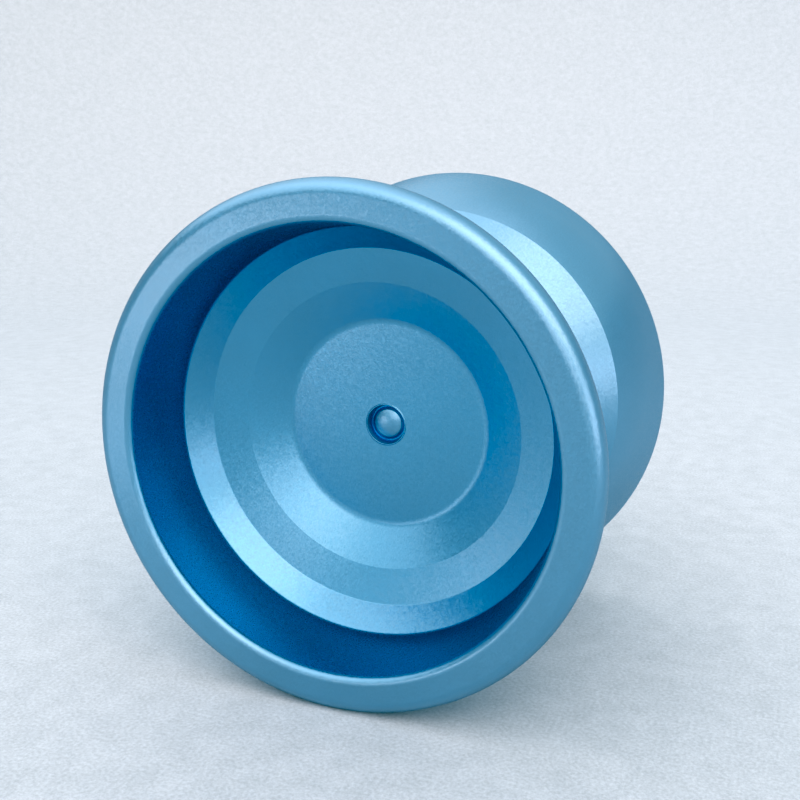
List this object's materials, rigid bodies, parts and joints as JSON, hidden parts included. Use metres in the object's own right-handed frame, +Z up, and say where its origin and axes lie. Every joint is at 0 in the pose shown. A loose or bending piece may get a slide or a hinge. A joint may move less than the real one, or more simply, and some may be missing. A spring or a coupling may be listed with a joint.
{
  "type": "yo-yo",
  "caption": "Unresponsive bearing yo-yo: two anodised aluminium halves with cupped faces on a threaded axle, with a ball bearing and response pads in the string gap.",
  "frame": {"origin": "centre of the axle, in the middle of the string gap", "axes": "+Z up as it stands on its two rims, +Y along the axle from the front half to the rear half"},
  "size_m": [0.056, 0.0426, 0.056],
  "materials": {
    "anodised_aluminium": "bead-blasted, light blue anodised",
    "axle_steel": "black oxide, threaded",
    "bearing_steel": "ground and polished",
    "ball_steel": "mirror polished",
    "cage_steel": "pressed and tumbled",
    "shield_steel": "satin",
    "silicone": "matt, translucent white"
  },
  "bodies": {
    "front_half": {"front_half": "anodised_aluminium", "front_response_pad": "silicone", "axle": "axle_steel", "bearing_inner_race": "bearing_steel"},
    "rear_carrier": {"rear_response_pad": "silicone"},
    "rear_half": {"rear_half": "anodised_aluminium"},
    "bearing_outer": {"bearing_outer_race": "bearing_steel", "front_shield": "shield_steel", "rear_shield": "shield_steel", "front_snap_ring": "bearing_steel", "rear_snap_ring": "bearing_steel"},
    "bearing_cage": {"bearing_cage": "cage_steel"},
    "ball_1": {"ball_1": "ball_steel"},
    "ball_2": {"ball_2": "ball_steel"},
    "ball_3": {"ball_3": "ball_steel"},
    "ball_4": {"ball_4": "ball_steel"},
    "ball_5": {"ball_5": "ball_steel"},
    "ball_6": {"ball_6": "ball_steel"},
    "ball_7": {"ball_7": "ball_steel"},
    "ball_8": {"ball_8": "ball_steel"},
    "ball_9": {"ball_9": "ball_steel"},
    "ball_10": {"ball_10": "ball_steel"}
  },
  "joints": [
    {"name": "rear_half_travel", "type": "slide", "parent": "front_half", "child": "rear_carrier", "axis": [0, 1, 0], "range_m": [0, 0.00351]},
    {"name": "rear_half_turn", "type": "hinge", "parent": "rear_carrier", "child": "rear_half", "pos_m": [0, 0, 0], "axis": [0, 1, 0], "range_deg": [0, 1800]},
    {"name": "bearing_spin", "type": "hinge", "parent": "front_half", "child": "bearing_outer", "pos_m": [0, 0, 0], "axis": [0, 1, 0], "continuous": true},
    {"name": "cage_orbit", "type": "hinge", "parent": "front_half", "child": "bearing_cage", "pos_m": [0, 0, 0], "axis": [0, 1, 0], "continuous": true},
    {"name": "ball_1_roll", "type": "hinge", "parent": "bearing_cage", "child": "ball_1", "pos_m": [0.00453, 0, 0.00147], "axis": [0, 1, 0], "continuous": true},
    {"name": "ball_2_roll", "type": "hinge", "parent": "bearing_cage", "child": "ball_2", "pos_m": [0.0028, 0, 0.00385], "axis": [0, 1, 0], "continuous": true},
    {"name": "ball_3_roll", "type": "hinge", "parent": "bearing_cage", "child": "ball_3", "pos_m": [0, 0, 0.00476], "axis": [0, 1, 0], "continuous": true},
    {"name": "ball_4_roll", "type": "hinge", "parent": "bearing_cage", "child": "ball_4", "pos_m": [-0.0028, 0, 0.00385], "axis": [0, 1, 0], "continuous": true},
    {"name": "ball_5_roll", "type": "hinge", "parent": "bearing_cage", "child": "ball_5", "pos_m": [-0.00453, 0, 0.00147], "axis": [0, 1, 0], "continuous": true},
    {"name": "ball_6_roll", "type": "hinge", "parent": "bearing_cage", "child": "ball_6", "pos_m": [-0.00453, 0, -0.00147], "axis": [0, 1, 0], "continuous": true},
    {"name": "ball_7_roll", "type": "hinge", "parent": "bearing_cage", "child": "ball_7", "pos_m": [-0.0028, 0, -0.00385], "axis": [0, 1, 0], "continuous": true},
    {"name": "ball_8_roll", "type": "hinge", "parent": "bearing_cage", "child": "ball_8", "pos_m": [0, 0, -0.00476], "axis": [0, 1, 0], "continuous": true},
    {"name": "ball_9_roll", "type": "hinge", "parent": "bearing_cage", "child": "ball_9", "pos_m": [0.0028, 0, -0.00385], "axis": [0, 1, 0], "continuous": true},
    {"name": "ball_10_roll", "type": "hinge", "parent": "bearing_cage", "child": "ball_10", "pos_m": [0.00453, 0, -0.00147], "axis": [0, 1, 0], "continuous": true}
  ],
  "couplings": [
    {"joint": "rear_half_travel", "follows": "rear_half_turn", "m_per_rad": 0.00011141},
    {"joint": "cage_orbit", "follows": "bearing_spin", "ratio": 0.58333},
    {"joint": "ball_1_roll", "follows": "bearing_spin", "ratio": 2.9167},
    {"joint": "ball_2_roll", "follows": "bearing_spin", "ratio": 2.9167},
    {"joint": "ball_3_roll", "follows": "bearing_spin", "ratio": 2.9167},
    {"joint": "ball_4_roll", "follows": "bearing_spin", "ratio": 2.9167},
    {"joint": "ball_5_roll", "follows": "bearing_spin", "ratio": 2.9167},
    {"joint": "ball_6_roll", "follows": "bearing_spin", "ratio": 2.9167},
    {"joint": "ball_7_roll", "follows": "bearing_spin", "ratio": 2.9167},
    {"joint": "ball_8_roll", "follows": "bearing_spin", "ratio": 2.9167},
    {"joint": "ball_9_roll", "follows": "bearing_spin", "ratio": 2.9167},
    {"joint": "ball_10_roll", "follows": "bearing_spin", "ratio": 2.9167}
  ]
}
